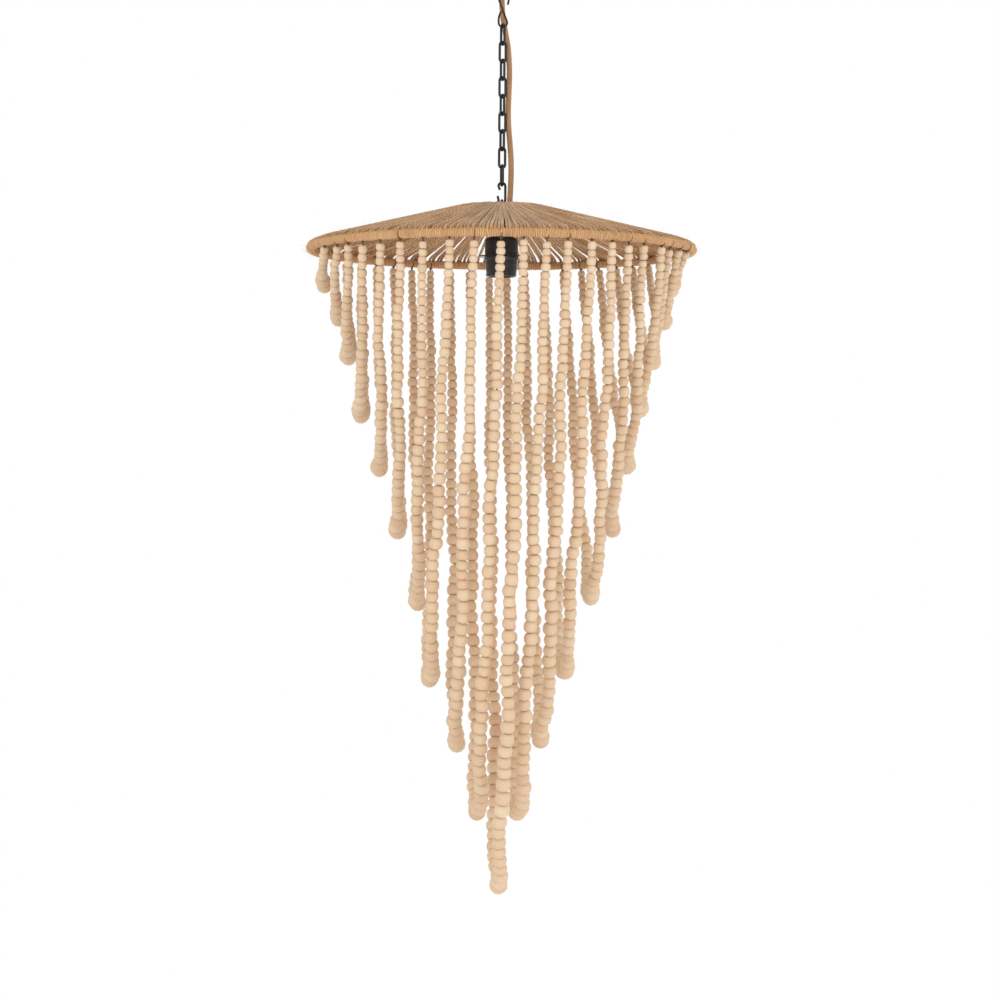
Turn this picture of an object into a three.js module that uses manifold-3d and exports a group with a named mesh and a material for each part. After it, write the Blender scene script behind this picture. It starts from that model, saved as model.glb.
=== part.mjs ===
// A beaded chandelier: a shallow jute cone on a wire frame, hung on a chain, with strands of
// wooden beads that run in deep loops from the front of the rim to the back.
// Lengths are millimetres, +Z is up, and the origin is the middle of the face on the ceiling.
import * as THREE from 'three';
import Module from 'manifold-3d';
import { mergeVertices } from 'three/addons/utils/BufferGeometryUtils.js';

const wasm = await Module();
wasm.setup();

// Clearances
const seatGap = 0.3; // between a piece and what carries it
const boreGap = 0.3; // round a shank in its hole
const cutOverrun = 4; // how far a cutter runs past the faces it cuts

// Ceiling canopy
const canopyRadius = 50;
const canopyDepth = 34;
const canopyWall = 1.4;
const canopyShoulderShare = 0.62; // height of the straight side
const plateRadius = 38;
const plateThickness = 2;
const plateSlotAt = 27;
const plateSlotWidth = 4.6;
const plateSlotLength = 12;
const blockWidth = 22;
const blockDepth = 12;
const blockHeight = 10;

// Eyes, ceiling hook and chain
const eyeRadius = 8;
const eyeWire = 2;
const eyeNeck = 6;
const stemRadius = 3;
const nutRadius = 6;
const nutHeight = 5;
const hookWire = 1.6;
const hookLowerRadius = 6.4;
const hookUpperRadius = 8;
const hookLength = 55;
const linkWire = 1.75;
const linkInside = 26.7;
const linkWidth = 9.9; // between the middles of the two long sides
const linkCount = 9;
const openLinkGap = 9;
const openLinkSpread = 2.2;

// Jute-covered supply cord
const cordRadius = 4.2;
const cordBehind = 17; // behind the eye at the ceiling
const cordBeside = 14; // beside the eye at the crown
const gripRadius = 7;
const gripFlange = 9;
const gripFlangeHeight = 2.5;

// Shade
const rimRadius = 286;
const rimSteel = 3;
const rimWrap = 6.5;
const coneRise = 56; // from the top of the cone at the rim to the top at the crown ring
const juteThickness = 4.5;
const crownRadius = 60;
const hubRadius = 25;
const ringWire = 2.5;
const spokeWire = 2;
const spokeCount = 4;
const hubHoleShare = 0.88; // radius of the jute's hole against the hub ring's
const juteCords = 72;
const juteSplitShare = 0.5; // where the cords part, from the hub to the rim
const juteGapShare = 0.34; // width of a gap at the rim, against one cord's share of the rim
const eyeAboveJute = 9.6; // top of the crown's eye above the jute

// Crown bar and lampholder
const barWidth = 16;
const barThickness = 3;
const holderWidth = 16;
const holderThickness = 1.8;
const holderReach = 44;
const holderPlateRadius = 34;
const holderDrop = 76; // from the jute's top to the plate that carries the lampholder
const capRadius = 25;
const capHeight = 28;
const capWall = 2.2;
const capCrownShare = 0.6;
const sleeveRadius = 19.5;
const sleeveWall = 2.4;
const sleeveAbove = 18;
const sleeveBelow = 25;
const ringTopRadius = 25;
const ringFootRadius = 21.5;
const ringHeight = 29;
const shellRadius = 13.6;
const shellWall = 0.8;
const shellHeight = 24;
const contactRadius = 5;
const contactHeight = 4;
const insulatorHeight = 6;

// Bead strands
const strandHalfCount = 10;
const strandStep = THREE.MathUtils.degToRad(6.8);
const sagCentre = 944;
const sagEdge = 46;
const sagPowerShare = 1.07;
const stringRadius = 1.2;
const topBead = 12;
const legBead = 18.5;
const growOver = 230; // length of strand over which the beads grow
const loopBead = 23;
const loopBeadLong = 27; // the lowest bead of the longest strand
const loopGrow = 80;
const beadPitchShare = 0.8;
const beadNeckShare = 0.56; // where two beads meet, against a bead's own radius
const beadBellyShare = 1.08; // corners of a bead's widest ring, against its own radius
const beadsPerSwelling = 2; // neighbours that share one swelling of the strand
const bellySides = 4;
const neckSides = 3;
const stringReach = 2.5;
const stringTrimShare = 0.45; // the slanting end of the string stays clear of the rim

// Finishes
const jute = { color: 0xa9814f, roughness: 0.95, metalness: 0 };
const blackSteel = { color: 0x1c1a19, roughness: 0.5, metalness: 0.6 };
const blackPlastic = { color: 0x17171a, roughness: 0.4, metalness: 0 };
const zincSteel = { color: 0x9a9a96, roughness: 0.4, metalness: 0.9 };
const brass = { color: 0xb08d4a, roughness: 0.35, metalness: 0.9 };
const wood = { color: 0xd9b88c, roughness: 0.75, metalness: 0 };
const ceramic = { color: 0xe6e2d8, roughness: 0.5, metalness: 0 };

const group = new THREE.Group();

function add(name, geometry, finish) {
  const mesh = new THREE.Mesh(geometry, new THREE.MeshStandardMaterial(finish));
  mesh.name = name;
  group.add(mesh);
  return mesh;
}

// Solids for cutting and joining
function solid(geometry) {
  const bare = geometry.clone();
  bare.deleteAttribute('normal');
  bare.deleteAttribute('uv');
  const merged = mergeVertices(bare, 1e-4);
  const mesh = new wasm.Mesh({
    numProp: 3,
    vertProperties: merged.attributes.position.array,
    triVerts: new Uint32Array(merged.index.array),
  });
  return new wasm.Manifold(mesh);
}

function geometryOf(manifold) {
  const mesh = manifold.getMesh();
  const geometry = new THREE.BufferGeometry();
  geometry.setAttribute('position', new THREE.BufferAttribute(mesh.vertProperties, 3));
  geometry.setIndex(new THREE.BufferAttribute(mesh.triVerts, 1));
  geometry.computeVertexNormals();
  return geometry;
}

function ringPath(count, at) {
  return Array.from({ length: count }, (_, i) => at((i / count) * Math.PI * 2));
}

// A round bar along a list of centres, one radius to each, with sides counted for each ring.
function bar(centres, radii, sides, closed = false) {
  const n = centres.length;
  const positions = [];
  const faces = [];
  const starts = [];
  const tangent = (i) => {
    const before = centres[closed ? (i + n - 1) % n : Math.max(0, i - 1)];
    const after = centres[closed ? (i + 1) % n : Math.min(n - 1, i + 1)];
    return new THREE.Vector3().subVectors(after, before).normalize();
  };
  // The side direction is one normal to the plane that the bar bends in.
  const plane = new THREE.Vector3();
  for (let i = 1; i < n; i++) {
    plane.add(new THREE.Vector3().crossVectors(tangent(i - 1), tangent(i)));
  }
  if (plane.lengthSq() < 1e-12) {
    const t = tangent(0);
    plane.crossVectors(t, Math.abs(t.x) < 0.9 ? new THREE.Vector3(1, 0, 0) : new THREE.Vector3(0, 1, 0));
  }
  plane.normalize();
  const sidesAt = (i) => (Array.isArray(sides) ? sides[i] : sides);
  for (let i = 0; i < n; i++) {
    const t = tangent(i);
    const u = new THREE.Vector3().crossVectors(plane, t).normalize();
    const v = new THREE.Vector3().crossVectors(t, u);
    starts.push(positions.length / 3);
    for (let j = 0; j < sidesAt(i); j++) {
      const a = (j / sidesAt(i)) * Math.PI * 2;
      const p = centres[i].clone();
      p.addScaledVector(u, Math.cos(a) * radii[i]);
      p.addScaledVector(v, Math.sin(a) * radii[i]);
      positions.push(p.x, p.y, p.z);
    }
  }
  const bridge = (a, b) => {
    const na = sidesAt(a);
    const nb = sidesAt(b);
    let i = 0;
    let j = 0;
    while (i < na || j < nb) {
      const p = starts[a] + (i % na);
      const q = starts[b] + (j % nb);
      if (j >= nb || (i < na && (i + 1) / na <= (j + 1) / nb)) {
        faces.push(p, starts[a] + ((i + 1) % na), q);
        i++;
      } else {
        faces.push(p, starts[b] + ((j + 1) % nb), q);
        j++;
      }
    }
  };
  for (let i = 0; i + 1 < n; i++) bridge(i, i + 1);
  if (closed) {
    bridge(n - 1, 0);
  } else {
    for (let j = 1; j + 1 < sidesAt(0); j++) faces.push(starts[0], starts[0] + j + 1, starts[0] + j);
    const last = starts[n - 1];
    for (let j = 1; j + 1 < sidesAt(n - 1); j++) faces.push(last, last + j, last + j + 1);
  }
  const geometry = new THREE.BufferGeometry();
  geometry.setAttribute('position', new THREE.Float32BufferAttribute(positions, 3));
  geometry.setIndex(faces);
  geometry.computeVertexNormals();
  return geometry;
}

function evenBar(centres, radius, sides, closed = false) {
  return bar(centres, centres.map(() => radius), sides, closed);
}

// A turned piece from [radius, height] pairs, standing along Z.
function turned(profile, segments) {
  const points = profile.map(([r, z]) => new THREE.Vector2(r, z));
  return new THREE.LatheGeometry(points, segments).rotateX(Math.PI / 2);
}

// Places down the middle line
const ceilingEyeZ = -(canopyDepth + seatGap + eyeNeck + eyeRadius);
const swingZ = ceilingEyeZ - eyeRadius; // middle of the wire that the ceiling hook hangs on
const hookTopZ = swingZ + eyeWire + hookWire + seatGap;
const hookFootZ = hookTopZ - hookLength;
const linkReach = linkInside / 2 + linkWire; // from a link's middle to the middle of its end
const linkPitch = linkInside - seatGap;
const firstLinkZ = hookFootZ + hookWire + linkWire + seatGap - linkReach;
const openLinkZ = firstLinkZ - linkPitch * linkCount;
const tiltZ = openLinkZ - linkReach; // middle of the wire that the crown's eye hangs on
const crownEyeZ = tiltZ + linkWire + eyeWire + seatGap - eyeRadius;
const juteTopZ = crownEyeZ + eyeRadius + eyeWire - eyeAboveJute;
const ringZ = juteTopZ - juteThickness - seatGap - ringWire;
const barTopZ = ringZ - ringWire - seatGap;
const barFootZ = barTopZ - barThickness;
const rimZ = juteTopZ - coneRise - juteThickness - seatGap - rimWrap;
const anchorZ = rimZ - rimWrap - seatGap;
const holderTopZ = juteTopZ - holderDrop;
const holderFootZ = holderTopZ - holderThickness;

function cylinder(radius, fromZ, toZ, sides) {
  const height = toZ - fromZ;
  const geometry = new THREE.CylinderGeometry(radius, radius, height, sides).rotateX(Math.PI / 2);
  return geometry.translate(0, 0, fromZ + height / 2);
}

function tube(outer, inner, fromZ, toZ, segments) {
  const profile = [[inner, fromZ], [outer, fromZ], [outer, toZ], [inner, toZ], [inner, fromZ]];
  return turned(profile, segments);
}

function box(width, depth, height, x, y, z) {
  return new THREE.BoxGeometry(width, depth, height).translate(x, y, z);
}

// Ceiling pieces
function mountingPlate() {
  let plate = solid(cylinder(plateRadius, -plateThickness, 0, 32));
  for (const side of [-1, 1]) {
    const slot = box(plateSlotLength, plateSlotWidth, plateThickness + 2 * cutOverrun,
      side * plateSlotAt, 0, -plateThickness / 2);
    plate = plate.subtract(solid(slot));
  }
  return geometryOf(plate);
}

function canopyShell() {
  const shoulderZ = -canopyDepth * canopyShoulderShare;
  const hole = stemRadius + boreGap;
  const inside = canopyRadius - canopyWall;
  const foot = -canopyDepth + canopyWall;
  const bendShares = [[0.94, 0.84], [0.8, 0.95], [0.62, 1]];
  const outer = bendShares.map(([r, z]) => [canopyRadius * r, -canopyDepth * z]).reverse();
  const inner = bendShares.map(([r, z]) => [inside * r, foot * z]);
  const profile = [
    [hole, -canopyDepth], ...outer, [canopyRadius, shoulderZ], [canopyRadius, 0],
    [inside, 0], [inside, shoulderZ], ...inner, [hole, foot], [hole, -canopyDepth],
  ];
  const gripHole = cylinder(gripRadius + boreGap, -canopyDepth - cutOverrun, foot + cutOverrun, 12);
  gripHole.translate(0, cordBehind, 0);
  return geometryOf(solid(turned(profile, 20)).subtract(solid(gripHole)));
}

// A ring of wire on a threaded stem, lying in the plane of Y and Z.
function eye(centreZ, stemFromZ, stemToZ) {
  const ring = new THREE.TorusGeometry(eyeRadius, eyeWire, 6, 16).rotateY(Math.PI / 2);
  ring.translate(0, 0, centreZ);
  return geometryOf(solid(ring).add(solid(cylinder(stemRadius, stemFromZ, stemToZ, 10))));
}

function nut(fromZ) {
  const hexagon = solid(cylinder(nutRadius, fromZ, fromZ + nutHeight, 6));
  const bore = cylinder(stemRadius + boreGap, fromZ - cutOverrun, fromZ + nutHeight + cutOverrun, 12);
  return geometryOf(hexagon.subtract(solid(bore)));
}

const canopyFloorZ = -canopyDepth + canopyWall;
const cordTopZ = swingZ + cordRadius; // the rounded top of the cord
const gripFootZ = cordTopZ + seatGap;
const gripHeadZ = canopyFloorZ + gripFlangeHeight;

function cordGrip() {
  const bore = cordRadius + boreGap;
  const seatZ = -canopyDepth - seatGap;
  const profile = [
    [bore, gripFootZ], [bore + canopyWall, gripFootZ], [gripRadius, seatZ - gripFlangeHeight],
    [gripFlange, seatZ - gripFlangeHeight], [gripFlange, seatZ], [gripRadius, seatZ],
    [gripRadius, gripHeadZ], [bore, gripHeadZ], [bore, gripFootZ],
  ];
  return turned(profile, 12).translate(0, cordBehind, 0);
}

add('mounting_plate', mountingPlate(), zincSteel);
add('canopy', canopyShell(), blackSteel);
add('ceiling_eye', eye(ceilingEyeZ, ceilingEyeZ + eyeRadius, -plateThickness - seatGap), blackSteel);
add('canopy_nut', nut(canopyFloorZ + seatGap), zincSteel);
add('cord_grip', cordGrip(), blackPlastic);

const blockZ = -plateThickness - seatGap - blockHeight / 2;
add('terminal_block', box(blockWidth, blockDepth, blockHeight, 0, cordBehind + blockDepth / 4, blockZ), ceramic);

function straightBar(from, to, radius, sides) {
  return evenBar([new THREE.Vector3(...from), new THREE.Vector3(...to)], radius, sides);
}

const tailTopZ = blockZ - blockHeight / 2 - seatGap;
add('supply_tail', straightBar([0, cordBehind, gripFootZ], [0, cordBehind, tailTopZ], cordRadius, 12), jute);

// Ceiling hook: an S in the plane of X and Z, its foot closed round the first link.
function ceilingHook() {
  const at = (x, z) => new THREE.Vector3(x, 0, hookFootZ + z);
  const arc = (radius, middle, from, to, steps) => {
    const points = [];
    for (let i = 0; i <= steps; i++) {
      const a = THREE.MathUtils.degToRad(from + ((to - from) * i) / steps);
      points.push(at(radius * Math.cos(a), middle + radius * Math.sin(a)));
    }
    return points;
  };
  const closingShares = [[-0.86, 1.75], [-0.58, 2.4], [-0.42, 2.95]];
  const upper = arc(hookUpperRadius, hookLength - hookUpperRadius, -25, 200, 9);
  const lower = arc(hookLowerRadius, hookLowerRadius, 25, -180, 9);
  const closing = closingShares.map(([x, z]) => at(x * hookLowerRadius, z * hookLowerRadius));
  return evenBar([...upper, ...lower, ...closing], hookWire, 6);
}

// A chain link as a closed stadium of wire; turn is its angle about Z.
function stadium(middleZ, turn) {
  const radius = linkWidth / 2;
  const straight = linkReach - radius;
  const bendSteps = 5;
  const points = [];
  for (const end of [1, -1]) {
    for (let i = 0; i <= bendSteps; i++) {
      const a = (i / bendSteps) * Math.PI;
      points.push(new THREE.Vector3(end * radius * Math.cos(a), 0, middleZ + end * (straight + radius * Math.sin(a))));
    }
  }
  return points.map((p) => p.applyAxisAngle(new THREE.Vector3(0, 0, 1), turn));
}

function link(middleZ, turn) {
  return evenBar(stadium(middleZ, turn), linkWire, 6, true);
}

// The last link is bent open on one side, its two ends sprung apart.
function openLink(middleZ) {
  const points = stadium(middleZ, 0);
  const count = points.length / 2;
  const side = linkWidth / 2;
  const upperTip = new THREE.Vector3(-side + openLinkSpread, 0, middleZ + openLinkGap / 2);
  const lowerTip = new THREE.Vector3(-side - openLinkSpread / 2, 0, middleZ - openLinkGap / 2);
  const upper = points.slice(0, count);
  const lower = points.slice(count);
  return evenBar([lowerTip, ...lower, ...upper, upperTip], linkWire, 6);
}

add('ceiling_hook', ceilingHook(), blackSteel);
for (let i = 0; i < linkCount; i++) {
  add(`link_${i + 1}`, link(firstLinkZ - linkPitch * i, i % 2 === 0 ? Math.PI / 2 : 0), blackSteel);
}
add('open_link', openLink(openLinkZ), blackSteel);

// Route of the supply cord from the grip to the crown: share of the drop, then x and y.
const cordRoute = [
  [0, 0, 17], [0.05, 0.2, 17], [0.11, 1.6, 16.2], [0.18, 5.2, 13.6], [0.25, 8.8, 10.6],
  [0.32, 10.4, 8], [0.39, 11, 7], [0.47, 10.2, 6.6], [0.57, 9.4, 6.6], [0.65, 10.4, 5.6],
  [0.72, 12.2, 4], [0.79, 13.8, 2.4], [0.86, 14.2, 1], [0.93, 14.1, 0.2], [1, 14, 0],
];

// A rounded end: shares of the cord's radius beyond the end, and of the radius there.
const roundEndShares = [[0.62, 0.78], [1, 0.2]];

function supplyCord() {
  const drop = swingZ - tiltZ;
  const curve = new THREE.CatmullRomCurve3(cordRoute.map(([share, x, y]) => new THREE.Vector3(x, y, swingZ - share * drop)));
  const middle = curve.getSpacedPoints(26);
  const centres = [...middle];
  const radii = middle.map(() => cordRadius);
  for (const [beyond, radius] of roundEndShares) {
    centres.unshift(new THREE.Vector3(0, cordBehind, swingZ + beyond * cordRadius));
    centres.push(new THREE.Vector3(cordBeside, 0, tiltZ - beyond * cordRadius));
    radii.unshift(radius * cordRadius);
    radii.push(radius * cordRadius);
  }
  return bar(centres, radii, 8);
}

add('supply_cord', supplyCord(), jute);

// Shade frame
function wireRing(radius, wire, z, around, along) {
  return new THREE.TorusGeometry(radius, wire, around, along).translate(0, 0, z);
}

const spokeSlope = (ringZ - rimZ) / (rimRadius - crownRadius);
const spokeInset = seatGap + spokeWire * spokeSlope;
const spokeFromR = crownRadius + ringWire + spokeInset;
const spokeToR = rimRadius - rimSteel - spokeInset;
const spokeAngles = ringPath(spokeCount, (a) => a + Math.PI / 4);

function spokeBar(fromR, toR, radius, sides) {
  const at = (r) => [r, 0, ringZ - (r - crownRadius) * spokeSlope];
  return straightBar(at(fromR), at(toR), radius, sides);
}

// The wrapping of the rim is a sleeve of jute round the steel, open where each spoke enters.
function rimWrapping() {
  const around = 8;
  const along = 40;
  let sleeve = solid(wireRing(rimRadius, rimWrap, rimZ, around, along));
  sleeve = sleeve.subtract(solid(wireRing(rimRadius, rimSteel + 2 * boreGap, rimZ, 5, along)));
  for (const angle of spokeAngles) {
    const hole = spokeBar(spokeFromR, rimRadius, spokeWire + boreGap, 6).rotateZ(angle);
    sleeve = sleeve.subtract(solid(hole));
  }
  return geometryOf(sleeve);
}

// The cone of jute: cords side by side round the hub, parting into fingers towards the rim.
function juteCone() {
  const holeRadius = hubRadius * hubHoleShare;
  const splitRadius = hubRadius + (rimRadius - hubRadius) * juteSplitShare;
  const endRadius = rimRadius + rimWrap / 2;
  const fall = coneRise / (rimRadius - crownRadius);
  const topAt = (r) => juteTopZ - Math.max(0, r - crownRadius) * fall;
  const sector = (Math.PI * 2) / juteCords;
  const inset = (sector * juteGapShare) / 2;
  const positions = [];
  const faces = [];
  const vertex = (r, angle, below) => {
    positions.push(r * Math.cos(angle), r * Math.sin(angle), topAt(r) - (below ? juteThickness : 0));
    return positions.length / 3 - 1;
  };
  const quad = (a, b, c, d) => faces.push(a, b, c, a, c, d);
  const seams = ringPath(juteCords, (angle) =>
    [holeRadius, crownRadius, splitRadius].map((r) => [vertex(r, angle, false), vertex(r, angle, true)]));
  for (let i = 0; i < juteCords; i++) {
    const left = seams[i];
    const right = seams[(i + 1) % juteCords];
    const angle = i * sector;
    const leftEnd = [vertex(endRadius, angle + inset, false), vertex(endRadius, angle + inset, true)];
    const rightEnd = [vertex(endRadius, angle + sector - inset, false), vertex(endRadius, angle + sector - inset, true)];
    for (let j = 0; j < 2; j++) {
      quad(left[j][0], left[j + 1][0], right[j + 1][0], right[j][0]);
      quad(left[j][1], right[j][1], right[j + 1][1], left[j + 1][1]);
    }
    quad(left[2][0], leftEnd[0], rightEnd[0], right[2][0]);
    quad(left[2][1], right[2][1], rightEnd[1], leftEnd[1]);
    quad(left[0][0], right[0][0], right[0][1], left[0][1]);
    quad(leftEnd[0], leftEnd[1], rightEnd[1], rightEnd[0]);
    quad(left[2][0], left[2][1], leftEnd[1], leftEnd[0]);
    quad(right[2][0], rightEnd[0], rightEnd[1], right[2][1]);
  }
  const geometry = new THREE.BufferGeometry();
  geometry.setAttribute('position', new THREE.Float32BufferAttribute(positions, 3));
  geometry.setIndex(faces);
  geometry.computeVertexNormals();
  return geometry;
}

add('crown_eye', eye(crownEyeZ, barFootZ - seatGap - nutHeight, crownEyeZ - eyeRadius), blackSteel);
add('crown_nut', nut(barFootZ - seatGap - nutHeight), zincSteel);
add('hub_ring', wireRing(hubRadius, ringWire, ringZ, 6, 14), jute);
add('crown_ring', wireRing(crownRadius, ringWire, ringZ, 6, 24), jute);
add('rim_ring', wireRing(rimRadius, rimSteel, rimZ, 5, 40), blackSteel);
spokeAngles.forEach((angle, i) => {
  add(`spoke_${i + 1}`, spokeBar(spokeFromR, spokeToR, spokeWire, 6).rotateZ(angle), jute);
});
add('rim_wrapping', rimWrapping(), jute);
add('jute_cone', juteCone(), jute);

// Crown bar and lampholder
function crownBar() {
  const length = 2 * (crownRadius + ringWire);
  const strap = solid(box(barWidth, length, barThickness, 0, 0, (barTopZ + barFootZ) / 2));
  const hole = cylinder(stemRadius + boreGap, barFootZ - cutOverrun, barTopZ + cutOverrun, 12);
  return geometryOf(strap.subtract(solid(hole)));
}

function holderBracket() {
  const legTop = barFootZ - seatGap;
  const legHeight = legTop - holderFootZ;
  const middleZ = (holderTopZ + holderFootZ) / 2;
  let bracket = solid(cylinder(holderPlateRadius, holderFootZ, holderTopZ, 32));
  bracket = bracket.add(solid(box(holderWidth, 2 * holderReach, holderThickness, 0, 0, middleZ)));
  for (const side of [-1, 1]) {
    const legY = side * (holderReach - holderThickness / 2);
    bracket = bracket.add(solid(box(holderWidth, holderThickness, legHeight, 0, legY, holderFootZ + legHeight / 2)));
  }
  const hole = cylinder(sleeveRadius + 2 * boreGap, holderFootZ - cutOverrun, holderTopZ + cutOverrun, 20);
  return geometryOf(bracket.subtract(solid(hole)));
}

const capFootZ = holderTopZ + seatGap;
const capTopZ = capFootZ + capHeight;

function lampholderCap() {
  const hole = cordRadius + boreGap;
  const inside = capRadius - capWall;
  const domeShares = [[1, 0.76], [0.95, 0.9], [0.82, 0.98], [0.6, 1]];
  const outer = domeShares.map(([r, z]) => [capRadius * r, capFootZ + capHeight * z]);
  const inner = domeShares.map(([r, z]) => [inside * r, capFootZ + (capHeight - capWall) * z]).reverse();
  const profile = [
    [inside, capFootZ], [capRadius, capFootZ], ...outer, [hole, capTopZ],
    [hole, capTopZ - capWall], ...inner, [inside, capFootZ],
  ];
  return turned(profile, 18);
}

const sleeveTopZ = holderTopZ + sleeveAbove;
const sleeveFootZ = holderFootZ - sleeveBelow;
const insulatorFootZ = sleeveTopZ - insulatorHeight;

function retainingRing() {
  const topZ = holderFootZ - seatGap;
  const bore = sleeveRadius + boreGap;
  const profile = [
    [bore, topZ - ringHeight], [ringFootRadius, topZ - ringHeight], [ringTopRadius, topZ],
    [bore, topZ], [bore, topZ - ringHeight],
  ];
  return turned(profile, 20);
}

const shellTopZ = insulatorFootZ - seatGap;

add('crown_bar', crownBar(), blackSteel);
add('holder_bracket', holderBracket(), blackSteel);
add('lampholder_cap', lampholderCap(), blackPlastic);
add('lampholder_sleeve', tube(sleeveRadius, sleeveRadius - sleeveWall, sleeveFootZ, sleeveTopZ, 20), blackPlastic);
add('retaining_ring', retainingRing(), blackPlastic);
add('insulator', cylinder(sleeveRadius - sleeveWall - boreGap, insulatorFootZ, sleeveTopZ, 16), ceramic);
add('contact_shell', tube(shellRadius, shellRadius - shellWall, shellTopZ - shellHeight, shellTopZ, 20), brass);
add('centre_contact', cylinder(contactRadius, shellTopZ - contactHeight, shellTopZ, 16), brass);

// The cord goes on inside the shade, from the crown into the cap: share of the drop, share across.
const leadRouteShares = [
  [0, 1], [0.11, 1], [0.22, 1], [0.33, 0.9], [0.42, 0.72], [0.51, 0.5], [0.6, 0.28], [0.69, 0.1],
  [0.8, 0], [0.9, 0], [1, 0],
];

function lampLead() {
  const topZ = tiltZ - cordRadius - seatGap;
  const drop = topZ - (sleeveTopZ + seatGap);
  const centres = leadRouteShares.map(([down, across]) => new THREE.Vector3(across * cordBeside, 0, topZ - down * drop));
  return evenBar(new THREE.CatmullRomCurve3(centres).getSpacedPoints(12), cordRadius, 8);
}

add('lamp_lead', lampLead(), jute);

// Bead strands
// A hanging strand is a catenary: its parameter for a given half span and sag.
function catenary(halfSpan, sag) {
  let low = sag / 1e3;
  let high = sag * 1e3;
  for (let i = 0; i < 80; i++) {
    const middle = Math.sqrt(low * high);
    const drop = middle * (Math.cosh(Math.min(halfSpan / middle, 50)) - 1);
    if (drop > sag) low = middle;
    else high = middle;
  }
  return Math.sqrt(low * high);
}

const smooth = (t) => {
  const s = Math.min(1, Math.max(0, t));
  return s * s * (3 - 2 * s);
};

const edgeX = rimRadius * Math.sin(strandHalfCount * strandStep);

// Stations from the lowest bead out to the string at the rim: distance from the foot, radius, sides.
// The strand swells at each belly and draws in at each neck between two swellings.
function strandStations(half, longShare) {
  const foot = loopBead + (loopBeadLong - loopBead) * longShare;
  const beadAt = (s) => {
    const fromRim = half - s;
    const leg = topBead + (legBead - topBead) * smooth(fromRim / growOver);
    return leg + (foot - leg) * (1 - smooth(s / loopGrow));
  };
  const swellingAt = (s) => beadAt(s) * beadPitchShare * beadsPerSwelling;
  const stations = [];
  let s = 0;
  while (s + swellingAt(s) / 2 + stringReach < half) {
    stations.push([s, (beadAt(s) / 2) * beadBellyShare, bellySides]);
    s += swellingAt(s) / 2;
    if (s + swellingAt(s) + stringReach < half) stations.push([s, (beadAt(s) / 2) * beadNeckShare, neckSides]);
    s += swellingAt(s) / 2;
  }
  stations.push([half - stringReach, stringRadius, neckSides]);
  stations.push([half - stringRadius * stringTrimShare, stringRadius, neckSides]);
  return stations;
}

function beadStrand(k) {
  const angle = k * strandStep;
  const x = rimRadius * Math.sin(angle);
  const halfSpan = rimRadius * Math.cos(angle);
  const across = Math.abs(x) / edgeX;
  const sag = sagEdge + (sagCentre - sagEdge) * (1 - across ** sagPowerShare);
  const a = catenary(halfSpan, sag);
  const half = a * Math.sinh(halfSpan / a);
  const at = (s) => {
    const y = a * Math.asinh(s / a);
    return new THREE.Vector3(x, y, anchorZ - sag + a * (Math.cosh(y / a) - 1));
  };
  const stations = strandStations(half, sag / sagCentre);
  const mirrored = stations.slice(1).map(([s, r, sides]) => [-s, r, sides]).reverse();
  const all = [...mirrored, ...stations];
  return bar(all.map(([s]) => at(s)), all.map(([, r]) => r), all.map(([, , sides]) => sides));
}

for (let k = -strandHalfCount; k <= strandHalfCount; k++) {
  const side = k < 0 ? `left_${-k}` : `right_${k}`;
  add(k === 0 ? 'strand_middle' : `strand_${side}`, beadStrand(k), wood);
}

export default group;
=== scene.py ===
import math
from types import SimpleNamespace as Named

import bpy
import numpy as np
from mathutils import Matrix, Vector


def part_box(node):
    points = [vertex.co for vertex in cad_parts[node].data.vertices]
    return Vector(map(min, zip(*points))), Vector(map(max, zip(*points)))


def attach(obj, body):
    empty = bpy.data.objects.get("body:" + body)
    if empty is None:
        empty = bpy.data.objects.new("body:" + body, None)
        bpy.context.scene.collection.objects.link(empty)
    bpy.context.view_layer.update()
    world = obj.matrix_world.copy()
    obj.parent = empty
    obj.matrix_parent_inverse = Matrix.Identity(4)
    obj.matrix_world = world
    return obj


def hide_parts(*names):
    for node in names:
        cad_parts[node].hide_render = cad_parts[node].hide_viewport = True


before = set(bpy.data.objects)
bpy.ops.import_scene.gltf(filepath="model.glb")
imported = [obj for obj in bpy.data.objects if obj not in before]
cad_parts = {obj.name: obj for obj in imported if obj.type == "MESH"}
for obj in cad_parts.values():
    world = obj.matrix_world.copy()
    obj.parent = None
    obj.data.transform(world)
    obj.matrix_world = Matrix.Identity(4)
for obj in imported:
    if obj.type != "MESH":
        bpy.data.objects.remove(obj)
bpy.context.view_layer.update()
scene = bpy.context.scene
scene.view_settings.view_transform = "Standard"

# Levels down the middle of the light, in metres, as the solids have them
level = {
    "swing": -.0563, "tilt": -.37155, "crownEye": -.3755, "ceilingEye": -.0483,
    "juteTop": -.3751, "ring": -.3824, "rim": -.4424, "anchor": -.4492,
    "hookFoot": -.1074, "firstLink": -.11885, "openLink": -.35645,
}
rim = {"radius": .286, "wrap": .0065}
crown = {"radius": .06, "hub": .025}


# Camera
cameraView = {"distance": 4.2, "height": -.817, "width": 1.5, "turn": 5.5, "roll": -.35, "sensor": 36, "clip": 60}


def makeCamera():
    # Level, and a little to the left of the front: lens length is sensor * distance / width seen
    v = Named(**cameraView)
    data = bpy.data.cameras.new("camera")
    data.sensor_width = v.sensor
    data.lens = v.sensor * v.distance / v.width
    data.clip_end = v.clip
    camera = bpy.data.objects.new("camera", data)
    turn = math.radians(v.turn)
    camera.location = (-v.distance * math.sin(turn), -v.distance * math.cos(turn), v.height)
    camera.rotation_euler = (math.radians(90), math.radians(v.roll), -turn)
    scene.collection.objects.link(camera)
    scene.camera = camera


makeCamera()
print("camera set")


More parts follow.
